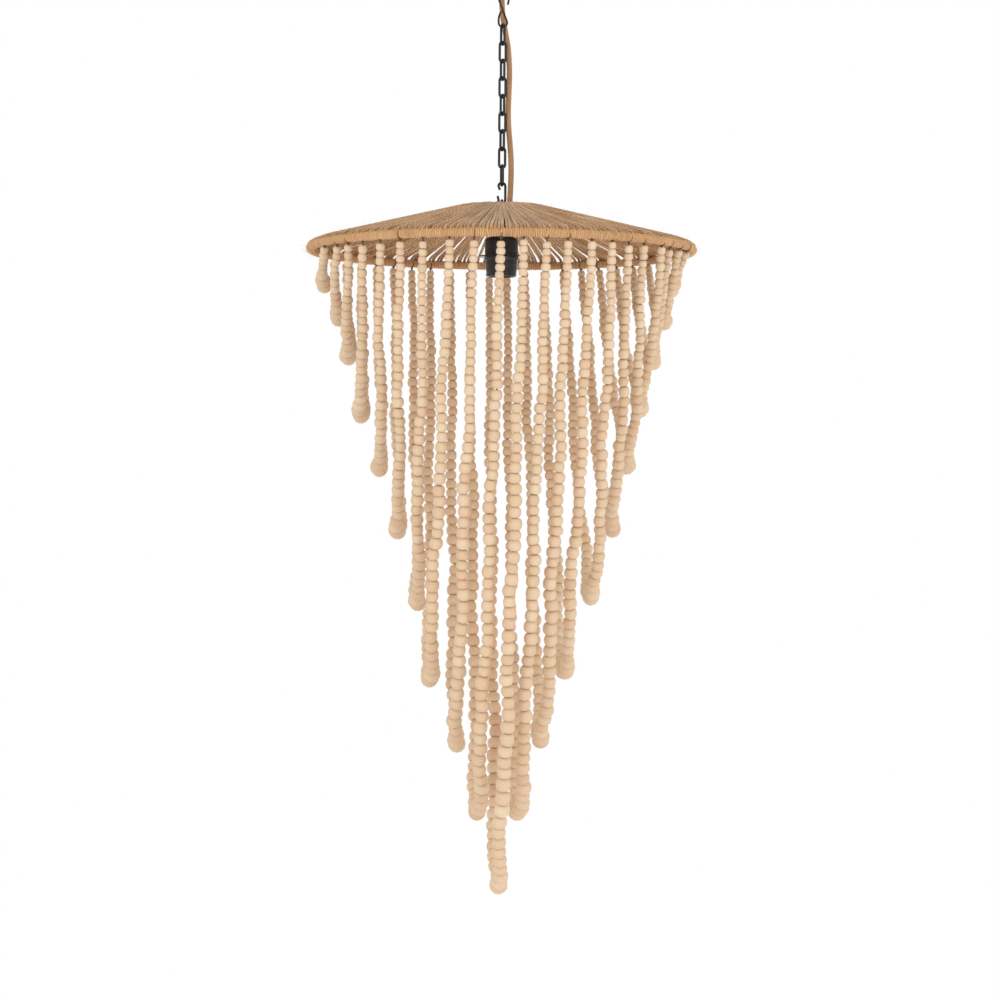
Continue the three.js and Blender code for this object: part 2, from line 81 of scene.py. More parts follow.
# Surfaces. A grid of points has one row for each place along the piece and one column for each
# place round it. Faces join neighbours, and a row's last point joins its first.
def meshObject(name, points, faces, uv=None, attributes=None, smooth=True):
    # A mesh from whole arrays: points, faces as rows of corners, UV per corner, attributes per point
    mesh = bpy.data.meshes.new(name)
    points = np.asarray(points, dtype=np.float32).reshape(-1, 3)
    sizes = np.concatenate([np.full(len(f), f.shape[1]) for f in faces])
    corners = np.concatenate([f.ravel() for f in faces]).astype(np.int32)
    mesh.vertices.add(len(points))
    mesh.vertices.foreach_set("co", points.ravel())
    mesh.loops.add(len(corners))
    mesh.loops.foreach_set("vertex_index", corners)
    mesh.polygons.add(len(sizes))
    mesh.polygons.foreach_set("loop_start", (np.cumsum(sizes) - sizes).astype(np.int32))
    mesh.polygons.foreach_set("use_smooth", np.full(len(sizes), smooth))
    if uv is not None:
        layer = mesh.uv_layers.new(name="UVMap")
        layer.data.foreach_set("uv", np.concatenate([u.reshape(-1, 2) for u in uv]).astype(np.float32).ravel())
    for key, values in (attributes or {}).items():
        values = np.asarray(values, dtype=np.float32)
        kind = "FLOAT" if values.ndim == 1 else "FLOAT_VECTOR"
        data = mesh.attributes.new(key, kind, "POINT").data
        data.foreach_set("value" if kind == "FLOAT" else "vector", values.ravel())
    mesh.update(calc_edges=True)
    mesh.validate()
    made = bpy.data.objects.new(name, mesh)
    scene.collection.objects.link(made)
    return made


def gridFaces(count, rows, columns, closed):
    # Corners of every face on `count` separate grids of rows by columns, wrapped round the columns
    steps = rows if closed else rows - 1
    k, i, j = np.meshgrid(np.arange(count), np.arange(steps), np.arange(columns), indexing="ij")
    here, there = k * rows * columns + i * columns, k * rows * columns + ((i + 1) % rows) * columns
    beside = (j + 1) % columns
    return np.stack([here + j, here + beside, there + beside, there + j], -1).reshape(-1, 4)


def endFaces(count, rows, columns):
    # One flat face across the first row and one across the last row of each grid
    start = np.arange(count)[:, None] * rows * columns
    across = np.arange(columns)[None, :]
    return np.concatenate([start + across[:, ::-1], start + (rows - 1) * columns + across])


def gridUv(lengths, columns, closed, girth):
    # u runs round the piece in metres, v along it in metres
    count, rows = lengths.shape
    steps = rows if closed else rows - 1
    j = np.arange(columns)
    u0, u1 = j / columns * girth, (j + 1) / columns * girth
    after = np.concatenate([lengths[:, 1:], lengths[:, -1:] * 2 - lengths[:, -2:-1]], 1)
    v0, v1 = lengths[:, :steps, None], after[:, :steps, None]
    shape = (count, steps, columns)
    corners = [(u0, v0), (u1, v0), (u1, v1), (u0, v1)]
    return np.stack([np.stack([np.broadcast_to(u, shape), np.broadcast_to(v, shape)], -1) for u, v in corners], 3)


def around(count):
    # Angles of so many even places round a circle
    return np.arange(count) / count * 2 * np.pi


def circle(radius, z, count):
    # Points (radius * cos(a), radius * sin(a), z) at even angles
    return np.stack([radius * np.cos(around(count)), radius * np.sin(around(count)), np.full(count, z)], -1)


upward = np.array((0, 0, 1.0))
quarter = np.radians(np.linspace(0, 90, 12))


def unit(vectors):
    # Each vector over its length
    return vectors / np.linalg.norm(vectors, axis=-1, keepdims=True)


def lengthSoFar(points):
    # The sum of the steps up to each point
    return np.concatenate([[0], np.cumsum(np.linalg.norm(np.diff(points, axis=0), axis=1))])


def sweep(paths, radii, columns, side, closed=False):
    # A circle carried along each path: centre + radius * (cos(a) * side + sin(a) * tangent x side)
    if closed:
        along = np.roll(paths, -1, 1) - np.roll(paths, 1, 1)
    else:
        along = np.gradient(paths, axis=1)
    along = unit(along)
    across = unit(side - (side * along).sum(-1, keepdims=True) * along)
    other = np.cross(along, across)
    a = around(columns)
    if np.ndim(radii) < 3:
        radii = np.broadcast_to(radii, paths.shape[:2])[..., None]
    return paths[:, :, None] + radii[..., None] * (
        np.cos(a)[:, None] * across[:, :, None] + np.sin(a)[:, None] * other[:, :, None])


def tubes(name, paths, radii, columns, side, closed=False, girth=None, start=0):
    # A tube along each path: UV v is the length so far plus `start`, and u runs once round the girth
    paths = np.asarray(paths, float)
    count, rows = paths.shape[:2]
    points = sweep(paths, np.asarray(radii, float), columns, np.asarray(side, float), closed)
    steps = np.linalg.norm(np.diff(paths, axis=1), axis=-1)
    lengths = start + np.concatenate([np.zeros((count, 1)), np.cumsum(steps, 1)], 1)
    girth = girth or 2 * np.pi * float(np.mean(radii))
    faces, uv = [gridFaces(count, rows, columns, closed)], [gridUv(lengths, columns, closed, girth)]
    if not closed:
        faces.append(endFaces(count, rows, columns))
        uv.append(np.zeros((2 * count, columns, 2)))
    return meshObject(name, points, faces, uv)


def turned(name, profile, columns, edge, *dressing, centre=(0, 0)):
    # A closed profile of radius and height carried round Z, (r * cos(a), r * sin(a), z), and dressed
    profile = np.asarray(profile, float)
    a = around(columns)
    r, z = profile[:, 0][:, None], profile[:, 1][:, None]
    points = np.stack([centre[0] + r * np.cos(a), centre[1] + r * np.sin(a), z + 0 * a], -1)
    made = meshObject(name, points, [gridFaces(1, len(profile), columns, True)],
                      [gridUv(lengthSoFar(profile)[None], columns, True, 2 * np.pi * profile[:, 0].max())])
    dress(softened(made, edge) if edge else made, *dressing)


def softened(made, width, segments=2, angle=35):
    # Edges that turn by more than the angle are rounded over the width
    edge = made.modifiers.new("edge", "BEVEL")
    edge.width, edge.segments, edge.limit_method = width, segments, "ANGLE"
    edge.angle_limit = math.radians(angle)
    edge.harden_normals = True
    return made


def smoothed(points, count, fineness=40):
    # Catmull-Rom curve through the points, sampled evenly along its length, and that length
    p = np.asarray(points, float)
    p = np.concatenate([2 * p[:1] - p[1:2], p, 2 * p[-1:] - p[-2:-1]])
    t = np.linspace(0, len(points) - 1, fineness * len(points))
    i = np.minimum(t.astype(int), len(points) - 2)
    f = (t - i)[:, None]
    a, b, c, d = p[i], p[i + 1], p[i + 2], p[i + 3]
    curve = .5 * (2 * b + (c - a) * f + (2 * a - 5 * b + 4 * c - d) * f ** 2 + (3 * b - a - 3 * c + d) * f ** 3)
    s = lengthSoFar(curve)
    even = np.linspace(0, s[-1], count)
    return np.stack([np.interp(even, s, curve[:, k]) for k in range(3)], 1), float(s[-1])


# Finishes
def sRgb(code):
    # Linear colour of a six-digit code
    c = np.array([int(code[i:i + 2], 16) / 255 for i in (0, 2, 4)])
    return (*np.where(c <= .04045, c / 12.92, ((c + .055) / 1.055) ** 2.4), 1.0)


def addNode(tree, kind, inputs=None, **settings):
    # A node whose inputs are linked where they are given a socket, and set where they are given a value
    node = tree.nodes.new(kind)
    for key, value in settings.items():
        setattr(node, key, value)
    for key, value in (inputs or {}).items():
        if isinstance(value, bpy.types.NodeSocket):
            tree.links.new(value, node.inputs[key])
        else:
            node.inputs[key].default_value = value
    return node


class Finish:
    # A material under construction: each method adds a node and gives its socket, or links it to the shader
    def __init__(self, name, roughness, metallic=0.0, specular=.5):
        self.material = bpy.data.materials.new(name)
        self.material.use_nodes = True
        self.tree = self.material.node_tree
        self.shader = self.tree.nodes["Principled BSDF"]
        for key, value in (("Roughness", roughness), ("Metallic", metallic), ("Specular IOR Level", specular)):
            self.shader.inputs[key].default_value = value

    def add(self, kind, inputs=None, **settings):
        return addNode(self.tree, kind, inputs, **settings)

    def maths(self, operation, a, b=0.0):
        return self.add("ShaderNodeMath", {0: a, 1: b}, operation=operation).outputs[0]

    def weighted(self, *terms):
        # The sum of each socket times its weight
        parts = [socket if weight == 1 else self.maths("MULTIPLY", socket, weight) for socket, weight in terms]
        total = parts[0]
        for part in parts[1:]:
            total = self.maths("ADD", total, part)
        return total

    def scaled(self, where, scale):
        return self.add("ShaderNodeMapping", {"Vector": where, "Scale": scale}).outputs[0]

    def place(self):
        return self.add("ShaderNodeTexCoord").outputs["Object"]

    def point(self, attribute, kind):
        return self.add("ShaderNodeAttribute", attribute_name=attribute).outputs[kind]

    def noise(self, where, scale, detail=3.0, roughness=.55):
        inputs = {"Vector": where, "Scale": scale, "Detail": detail, "Roughness": roughness}
        return self.add("ShaderNodeTexNoise", inputs).outputs["Fac"]

    def ramp(self, factor, stops):
        node = self.add("ShaderNodeValToRGB", {"Fac": factor})
        for i, (at, colour) in enumerate(stops):
            stop = node.color_ramp.elements[i] if i < 2 else node.color_ramp.elements.new(at)
            stop.position = at
            stop.color = sRgb(colour)
        return node.outputs["Color"]

    def times(self, one, other):
        # Two colours multiplied
        node = self.add("ShaderNodeMix", {0: 1.0, 6: one, 7: other}, data_type="RGBA", blend_type="MULTIPLY")
        return node.outputs[2]

    def colour(self, socket):
        self.tree.links.new(socket, self.shader.inputs["Base Color"])

    def rough(self, factor, low, high):
        node = self.add("ShaderNodeMapRange", {"Value": factor, "To Min": low, "To Max": high})
        self.tree.links.new(node.outputs[0], self.shader.inputs["Roughness"])

    def bump(self, height, distance, strength=1.0):
        node = self.add("ShaderNodeBump", {"Height": height, "Distance": distance, "Strength": strength})
        self.tree.links.new(node.outputs[0], self.shader.inputs["Normal"])


def juteFinish(name, stops, plyPitch=.01, plies=3, girth=.016, depth=.0009, wobble=3.0, shares=(.34, .3, .5),
               fibres=(2600, 380, 1), ridged=False, perCord=0.0):
    # Twisted cord: ridges wind round it, at one turn of each ply in plyPitch, with fine fibre on top.
    # Tone is ridge, fibre and broad patches, each times its share, so the ridge share paints shade into the grooves
    # between the ridges, and perCord sets cords apart.
    # Where the turns are in the mesh, the ridges come from its own attribute.
    f = Finish(name, .92, specular=.15)
    where = f.add("ShaderNodeUVMap", uv_map="UVMap").outputs[0]
    parts = f.add("ShaderNodeSeparateXYZ", {0: where})
    if ridged:
        ridge = f.point("ridge", "Fac")
    else:
        across, along = parts.outputs[0], parts.outputs[1]
        phase = f.weighted((across, 2 * math.pi * plies / girth), (along, 2 * math.pi / plyPitch),
                           (f.noise(f.place(), 90, 2), wobble))
        ridge = f.maths("ADD", f.maths("MULTIPLY", f.maths("SINE", phase), .5), .5)
    fibre = f.noise(f.scaled(where, fibres), 1.0, 3)
    patch = f.noise(f.place(), 14, 4)
    # the ridge term is painted shade: grooves darker, crests lighter
    terms = [(ridge, shares[0]), (fibre, shares[1]), (patch, shares[2])]
    if perCord:
        terms.append((f.noise(f.scaled(where, (2, 7, 1)), 1.0, 2), perCord))
    f.colour(f.ramp(f.weighted(*terms), stops))
    f.bump(f.weighted((ridge, 1), (fibre, .5)), depth)
    f.shader.inputs["Sheen Weight"].default_value = .25
    f.shader.inputs["Sheen Roughness"].default_value = .6
    return f.material, "jute"


def beadFinish():
    # Sanded wood: each bead has its own tone, which also carries painted shade that darkens the lower beads, with
    # fine grain along its hole and a rare dark pore
    f = Finish("sandedBeadWood", .62, specular=.3)
    grainAt = f.point("grain", "Vector")
    streak = f.noise(f.scaled(grainAt, (900, 900, 60)), 1.0, 3)
    cloud = f.noise(grainAt, 70, 3)
    mixed = f.weighted((f.point("tone", "Fac"), .62), (streak, .22), (cloud, .2))
    body = f.ramp(mixed, [(.12, "c6a68a"), (.95, "e3d8c5"), (.38, "d4ba9f"), (.66, "dcc9b1")])
    dark = f.ramp(f.noise(grainAt, 420, 1), [(0.0, "8a6238"), (.24, "ffffff")])
    # some beads are pinker and some yellower
    hue = f.ramp(f.noise(grainAt, 9, 1), [(.36, "fff9f5"), (.64, "fdfbf3")])
    f.colour(f.times(f.times(body, dark), hue))
    f.rough(streak, .55, .72)
    f.bump(f.weighted((streak, 1), (cloud, .6)), .00025, .6)
    return f.material, "wood_beads"


def metalFinish(name, slot, dark, pale, roughness, metallic, grain=260, depth=.00012):
    # Metal, plastic or glaze: two near tones mixed by fine and broad noise, which is also the bump
    f = Finish(name, roughness, metallic)
    place = f.place()
    fine, broad = f.noise(place, grain, 3), f.noise(place, 22, 3)
    f.colour(f.ramp(f.weighted((fine, .4), (broad, .6)), [(.3, dark), (.75, pale)]))
    f.rough(fine, roughness - .08, roughness + .12)
    f.bump(fine, depth, .5)
    return f.material, slot


coneJute = juteFinish("coneJute", [(.5, "5c3d20"), (1.0, "d6ae82"), (.7, "987046"), (.84, "b58b5e")], .011,
                      girth=.0142, depth=.0006, shares=(.12, .6, .2), fibres=(700, 110, 1), perCord=.7)
rimJute = juteFinish("rimJute", [(.2, "6a4828"), (.9, "d6ad83"), (.5, "b38658"), (.7, "c5996b")],
                     depth=.0002, shares=(.36, .28, .5), fibres=(300, 2600, 1), ridged=True)
wireJute = juteFinish("wireJute", [(.2, "7d5d3a"), (.9, "d0aa76"), (.5, "ab8453"), (.68, "be9865")],
                      .003, plies=1, girth=.0142, depth=.0003, wobble=1.0, fibres=(420, 2600, 1))
cordJute = juteFinish("cordJute", [(.1, "7a593a"), (.95, "c8a07a"), (.5, "a47a55"), (.7, "b28860")],
                      .006, plies=6, girth=.0264, depth=.0003)
knotString = juteFinish("knotString", [(.2, "33231a"), (.9, "85653d"), (.5, "553c25"), (.7, "6a4d2e")],
                        .003, plies=2, girth=.0045, depth=.0002)
beadWood = beadFinish()
blackSteel = metalFinish("blackSteel", "black_steel", "191818", "363434", .42, .45)
zincSteel = metalFinish("zincSteel", "zinc_steel", "8c8c88", "b4b4b0", .36, .9)
brassMetal = metalFinish("brassMetal", "brass", "a07a35", "c9a55c", .3, .95)
blackPlastic = metalFinish("blackPlastic", "black_plastic", "141416", "232327", .32, 0.0, 700, .00006)
whiteCeramic = metalFinish("whiteCeramic", "ceramic", "dcd6c8", "efeade", .45, 0.0, 500, .0001)


def dress(made, finish, body, *nodes):
    # Gives a piece its finish, the body it rides on and the CAD nodes it stands for
    material, slot = finish
    made.data.materials.append(material)
    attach(made, body)
    if nodes:
        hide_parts(*nodes)


# Cords: points of each route from its top end down
supplyCord = {
    "radius": .0042, "points": 160, "sides": 20, "tips": [(.0035, .3), (.0022, .8)],
    "route": [
        (0, 0, .017), (.05, .0002, .017), (.11, .0016, .0162), (.18, .0052, .0136), (.25, .0088, .0106),
        (.32, .0104, .008), (.39, .011, .007), (.47, .0102, .0066), (.57, .0094, .0066), (.65, .0104, .0056),
        (.72, .0122, .004), (.79, .0136, .0024), (.86, .0138, .001), (.93, .013, .0002), (1, .0118, 0),
    ],
}
lampLead = {
    "radius": .0042, "points": 50, "top": -.3758, "foot": -.4328, "out": .014,
    "shares": [
        (0, 1), (.11, 1), (.22, 1), (.33, .9), (.42, .72), (.51, .5), (.6, .28), (.69, .1), (.8, 0), (.9, 0), (1, 0),
    ],
}


def makeCords():
    # Each cord is a tube along a smooth curve through its route, and the supply cord's ends draw in
    v = Named(**supplyCord)
    drop = level["swing"] - level["tilt"]
    route = [(x, y, level["swing"] - share * drop) for share, x, y in v.route]
    path, length = smoothed(route, v.points)
    r = v.radius
    beyond = np.array([(0, 0, far) for far, _ in v.tips])
    drawnIn = [r * share for _, share in v.tips]
    whole = np.concatenate([path[0] + beyond, path, path[-1] - beyond[::-1]])
    radii = np.concatenate([drawnIn, np.full(len(path), r), drawnIn[::-1]])
    cord = tubes("supplyCord", whole[None], radii[None], v.sides, (0, 1, 0), girth=2 * np.pi * r)
    dress(cord, cordJute, "hanger", "supply_cord")
    v = Named(**lampLead)
    r, down = v.radius, v.top - v.foot
    points = [(v.out * across, 0, v.top - share * down) for share, across in v.shares]
    path, length = smoothed(points, v.points)
    lead = tubes("lampLead", path[None], r, supplyCord["sides"], (0, 1, 0))
    dress(lead, cordJute, "shade", "lamp_lead")
    print("cords", round(length, 4))


makeCords()


# Bead strands: each hangs in a catenary from the front of the rim to the back
strand = {
    "halfCount": 10, "step": math.radians(6.8), "sagCentre": .944, "sagEdge": .046, "sagPower": 1.07,
    # diameters at the rim, along a leg, and at the foot of a short and of a long strand
    "top": .0112, "leg": .0222, "growOver": .85, "growPower": .62,
    "loop": .023, "loopLong": .027, "loopGrow": .08,
    # thickness as a share of the diameter, the spread of both, and now and then a loose place
    "pitch": (.83, .01), "sizeSpread": .075, "thickSpread": .1, "looseShare": .06, "loose": (.0013, .4),
    # string left bare under the rim
    "bareFront": (.0006, .0055), "bareRear": (.0003, .0016), "sway": math.radians(8), "clear": .0019,
    # how the string runs
    "bow": .02, "sidePower": 1.2, "wander": [(.31, .0024), (.13, .0013), (.06, .0007)], "wanderPower": 4,
    "sideways": .0008, "asidePower": 8, "tilt": .06, "thread": .0011, "threadPoints": 120, "threadSides": 6,
    "nudge": .0005,
    # one bead: half its thickness and a hair, its outline, its roundness and its tone, with painted shade that
    # darkens it the lower it hangs below the rim
    "sides": 12, "halfThick": .502, "outOfRound": .02, "rounder": .35, "hole": .05, "tone": (.5, .12),
    "darker": .16, "shift": 5,
    "drum": [
        (-1, 0), (-.985, .6), (-.87, .785), (-.56, .93), (-.2, .993),
        (.2, .993), (.56, .93), (.87, .785), (.985, .6), (1, 0),
    ],
    # hand-made unevenness in millimetres, from the left strand to the right one: how far the front
    # end and the rear end sit along the rim, how far the foot hangs to the right, and its rise
    "front": [-8, -1, -7, -8, -8, -8, -5, 1, 2, 6, 4, 3, 0, 3, 3, -1, -5, 3, -8, -8, -8],
    "rear": [8, 10, 12, 14, 14, 14, 14, 13, 13, 10, 8, 2, -3, -6, -8, -11, -13, -14, -14, -12, -9],
    "foot": [-3, 5, 5, 3, 8, 8, 8, -5, 2, 2, -1, -4, -3, -3, 8, 8, 6, 0, -6, -8, -6],
    "rise": [-4, 0, 7, -3, 4, 6, 0, -7, 4, 9, -1, 9, 9, 4, 9, 10, 10, 9, 4, 0, -3],
}


def catenary(halfSpan, sag):
    # The length a for which a * (cosh(halfSpan / a) - 1) is the sag, found by narrowing its range
    low, high = sag / 1e3, sag * 1e3
    for _ in range(80):
        middle = math.sqrt(low * high)
        drop = middle * (math.cosh(min(halfSpan / middle, 50)) - 1)
        low, high = (middle, high) if drop > sag else (low, middle)
    return math.sqrt(low * high)


def ease(t):
    # From 0 to 1 with level ends: 3 t^2 - 2 t^3
    t = np.clip(t, 0, 1)
    return t * t * (3 - 2 * t)


def rimEnd(k, end):
    # Where strand k meets the rim: sideways and from the middle plane, with its unevenness
    angle = k * strand["step"] + strand[end][k + strand["halfCount"]] / 1000 / rim["radius"]
    return rim["radius"] * math.sin(angle), rim["radius"] * math.cos(angle)


def beadSizes(half, longShare, bare, leastBare, chance):
    # Distances along one leg from the foot, with a diameter and a thickness for each bead, until the
    # rim is reached: the diameter goes from `top` to `leg` by the power of the share grown, and eases
    # over to the foot's
    v = Named(**strand)
    foot = v.loop + (v.loopLong - v.loop) * longShare
    bare = max(chance.uniform(*bare), leastBare)
    pitch, pitchGrowth = v.pitch
    places, sizes, s = [], [], 0.0
    while True:
        grown = min(1, max(0, half - s) / v.growOver)
        leg = v.top + (v.leg - v.top) * grown ** v.growPower
        size = leg + (foot - leg) * (1 - ease(s / v.loopGrow))
        size *= 1 + v.sizeSpread * chance.uniform(-1, 1)
        thick = size * (pitch + pitchGrowth * grown) * (1 + v.thickSpread * chance.uniform(-1, 1))
        at = s + thick / 2 if places else 0.0
        if at + thick / 2 > half - bare:
            stretch = (half - bare) / s
            return np.array(places) * stretch, np.array(sizes) * (1, stretch)
        places.append(at)
        sizes.append((size, thick))
        most, least = v.loose
        s = at + thick / 2 + (most * chance.uniform(least, 1) if chance.uniform() < v.looseShare else 0.0)


def makeStrand(k):
    # Strand k: beads are drums whose height share times half the thickness runs along the string, and
    # whose radius share times half the diameter runs across it
    v = Named(**strand)
    chance = np.random.default_rng(500 + k)
    x, halfSpan = rim["radius"] * math.sin(k * v.step), rim["radius"] * math.cos(k * v.step)
    aside = abs(x) / (rim["radius"] * math.sin(v.halfCount * v.step))
    sag = v.sagEdge + (v.sagCentre - v.sagEdge) * (1 - aside ** v.sagPower)
    sag -= v.rise[k + v.halfCount] / 1000
    a = catenary(halfSpan, sag)
    half = a * math.sinh(halfSpan / a)
    ends = [(wide - x, deep / halfSpan - 1) for wide, deep in (rimEnd(k, "front"), rimEnd(k, "rear"))]
    foot = v.foot[k + v.halfCount] / 1000

    def placed(s):
        # y = a * asinh(s / a), eased over to where this strand's foot and its two ends are
        share = np.abs(s) / half
        wide, deep = np.where((s < 0)[:, None], ends[0], ends[1]).T
        y = a * np.arcsinh(s / a)
        up = a * (np.cosh(y / a) - 1)
        bow = v.bow * np.sign(y) * (np.abs(y) - halfSpan * up / sag) / rim["radius"]
        across = x + foot + (wide - foot) * share ** v.sidePower + bow
        return np.stack([across, y * (1 + deep * share), level["anchor"] - sag + up], 1)

    # an end that is off its hinge's line rises as the strand sways, and its string is left bare for that
    least = [v.clear + math.sin(v.sway) * abs(wide) for wide, _ in ends]
    front, frontSize = beadSizes(half, sag / v.sagCentre, v.bareFront, least[0], chance)
    back, backSize = beadSizes(half, sag / v.sagCentre, v.bareRear, least[1], chance)
    s = np.concatenate([-front[::-1], back[1:]])
    size = np.concatenate([frontSize[::-1], backSize[1:]])
    centre = placed(s)
    along = unit(placed(s + v.nudge) - placed(s - v.nudge))
    n = len(s)
    # the thread wanders a little sideways between its ends, and each bead tilts on it
    waves = [(2 * np.pi / long, chance.uniform(0, 6), reach) for long, reach in v.wander]

    def wander(s):
        held = 1 - (s / half) ** v.wanderPower
        return sum(np.sin(s * w + start) * reach for w, start, reach in waves) * held

    centre[:, 0] += wander(s) + chance.uniform(-1, 1, n) * v.sideways * (1 - (s / half) ** v.asidePower)
    centre[:, 1:] += chance.uniform(-1, 1, (n, 2)) * v.sideways * .5
    along = unit(along + chance.normal(0, v.tilt, (n, 3)))
    side = unit(np.cross(along, chance.normal(0, 1, (n, 3))))
    other = np.cross(along, side)
    drum = np.array(v.drum)
    angle = around(v.sides)
    rows, columns = len(drum), v.sides
    h = drum[:, 0][None, :, None] * (size[:, 1] * v.halfThick)[:, None, None] + 0 * angle
    # the larger beads are rounder at their ends
    large = np.clip((size[:, 0] - v.top) / (v.leg - v.top), 0, 1)[:, None, None]
    r = np.maximum(1 - (1 - drum[:, 1][None, :, None]) * (1 + v.rounder * large), v.hole)
    r = r * (size[:, 0] / 2)[:, None, None]
    r = r * (1 + v.outOfRound * np.sin(2 * angle + chance.uniform(0, 6, n)[:, None, None]))
    lx, ly = r * np.cos(angle), r * np.sin(angle)
    points = (centre[:, None, None] + h[..., None] * along[:, None, None]
              + lx[..., None] * side[:, None, None] + ly[..., None] * other[:, None, None])
    shift = chance.uniform(0, v.shift, (n, 1, 1, 3))
    grain = np.stack([lx, ly, h], -1) + shift
    # painted shade: each bead's tone is lowered in proportion to its depth below the rim, standing in for light that
    # falls off downward
    tone = np.clip(chance.normal(*v.tone, n) - v.darker * (level["anchor"] - centre[:, 2]), 0, 1)
    tone = np.broadcast_to(tone[:, None, None], (n, rows, columns))
    faces = [gridFaces(n, rows, columns, False), endFaces(n, rows, columns)]
    name = "beads_middle" if k == 0 else f"beads_{'left' if k < 0 else 'right'}_{abs(k)}"
    body = name.replace("beads", "strand")
    made = meshObject(name, points, faces, attributes={"grain": grain.reshape(-1, 3), "tone": tone.ravel()})
    dress(made, beadWood, body, body)
    even = np.linspace(-half, half, v.threadPoints)
    path = placed(even)
    path[:, 0] += wander(even)
    thread = tubes(name.replace("beads", "thread"), path[None], v.thread, v.threadSides, (1, 0, 0))
    dress(thread, knotString, body)
    return n


print("beads", sum(makeStrand(k) for k in range(-strand["halfCount"], strand["halfCount"] + 1)))


# Jute cone: cords laid side by side from the hub over the crown ring to the rim
cone = {
    "cords": 264, "rows": 38, "rowPower": .9, "sides": 7, "rise": .056, "insideHub": .003, "overRim": .0035,
    # one cord: its width and how flat it is, with a slow swell along it
    "width": .0049, "widths": (.88, 1.08), "flat": .74, "swell": (.05, 60), "wave": (.0012, 9),
    # the cords' spacing, in shares of a cord's place
    "bundles": (1, 1, 2, 2, 3), "tight": .74, "looser": .06,
    "gap": (2.4, .21), "widest": .85, "least": .03, "closedAt": .735, "opening": 14,
    "bundleLean": .006, "cordLean": .0015,
    # how they lie over each other at the hub and bend down over the rim
    "layers": (0, 2, 1, 3), "layerStep": .0008, "layerPower": .8, "uneven": (.0002, .0003),
    "lip": {"from": .965, "over": .035, "drop": .0035},
    "girth": .0142, "uvStart": 20,
}


def coneTop(r):
    # Height of the cone's top at a radius: level to the crown ring, then falling evenly to the rim
    fall = cone["rise"] / (rim["radius"] - crown["radius"])
    bend = np.maximum(0, r - crown["radius"])
    return level["juteTop"] - bend * fall


def makeCone():
    # Each cord runs at an even share of the way from the hub to the rim, at an angle that goes from
    # its start to its end, and hangs half its thickness under the cone's top
    v = Named(**cone)
    chance = np.random.default_rng(241)
    n = v.cords
    t = np.linspace(0, 1, v.rows) ** v.rowPower
    r = (crown["hub"] - v.insideHub) + t * (rim["radius"] + v.overRim - crown["hub"] + v.insideHub)
    # cords come in small bundles, with a gap of its own width before each, the least over the bracket
    bundle = np.repeat(np.arange(n), chance.choice(v.bundles, n))[:n]
    first = np.diff(bundle, prepend=-1) > 0
    gap = np.minimum(chance.gamma(*v.gap, n), v.widest)
    gap = np.minimum(gap, v.least + v.opening * np.abs(np.arange(n) / n - v.closedAt))
    step = v.tight + chance.uniform(0, v.looser, n) + first * gap
    start = np.cumsum(step) / step.sum() * 2 * np.pi
    end = start + chance.normal(0, v.bundleLean, n)[bundle] + chance.normal(0, v.cordLean, n)
    reach, turns = v.wave
    a = start[:, None] + (end - start)[:, None] * t + reach * np.sin(t * turns + chance.uniform(0, 6, (n, 1)))
    width = v.width * chance.uniform(*v.widths, (n, 1))
    reach, turns = v.swell
    width = width * (1 + reach * np.sin(t * turns + chance.uniform(0, 6, (n, 1))))
    # towards the hub they lie over each other in layers
    layer = np.array(v.layers)[np.arange(n) % len(v.layers)][:, None] * v.layerStep
    layer = layer * (1 - t) ** v.layerPower
    spread, most = v.uneven
    z = coneTop(r)[None] - v.flat * width / 2 - layer + np.minimum(chance.normal(0, spread, (n, 1)), most)
    z = z - v.lip["drop"] * ease((t - v.lip["from"]) / v.lip["over"])
    paths = np.stack([r * np.cos(a), r * np.sin(a), z], -1)
    # each cord is an ellipse, flat side up
    b = around(v.sides)
    oval = 1 / np.sqrt((np.cos(b) / v.flat) ** 2 + np.sin(b) ** 2)
    made = tubes("juteCords", paths, (width / 2)[..., None] * oval, v.sides, (0, 0, 1), girth=v.girth,
                 start=chance.uniform(0, v.uvStart, (n, 1)))
    dress(made, coneJute, "shade", "jute_cone")


makeCone()


# Rim: steel ring wound tightly with jute, each turn a rounded rib
winding = {
    "turns": 560, "sides": 12, "rib": .0012, "ribs": (.72, 1.2), "turnShape": [0, .75, .94, 1, .94, .75],
    "lean": .0007, "waves": (7, 23, 51), "wave": .00012, "girth": .041,
}


def makeRim():
    # A ring whose radius is the wrapping's less one rib, plus the rib times its shape in this turn
    v = Named(**winding)
    chance = np.random.default_rng(5)
    rows = v.turns * len(v.turnShape)
    u = around(rows)
    path = circle(rim["radius"], level["rim"], rows)
    uneven = sum(np.sin(w * u + chance.uniform(0, 6)) for w in v.waves) * v.wave
    a = around(v.sides)
    ridge = np.tile(v.turnShape, v.turns)
    size = np.repeat(chance.uniform(*v.ribs, v.turns), len(v.turnShape))
    radius = (rim["wrap"] - v.rib + v.rib * ridge * size + uneven)[:, None] + 0 * a
    # each turn leans its own way
    lean = np.repeat(chance.normal(0, v.lean, v.turns), len(v.turnShape))
    made = sweep(path[None], radius[None], v.sides, upward, True)[0]
    tangent = np.stack([-np.sin(u), np.cos(u), 0 * u], -1)
    made += tangent[:, None] * (np.cos(a)[None, :, None] * lean[:, None, None])
    # the ridge attribute also paints shade into the grooves between turns, through the jute finish
    made = meshObject("rimWinding", made, [gridFaces(1, rows, v.sides, True)],
                      [gridUv((u * rim["radius"])[None], v.sides, True, v.girth)],
                      {"ridge": np.repeat(ridge * size, v.sides)})
    dress(made, rimJute, "shade", "rim_wrapping")


makeRim()


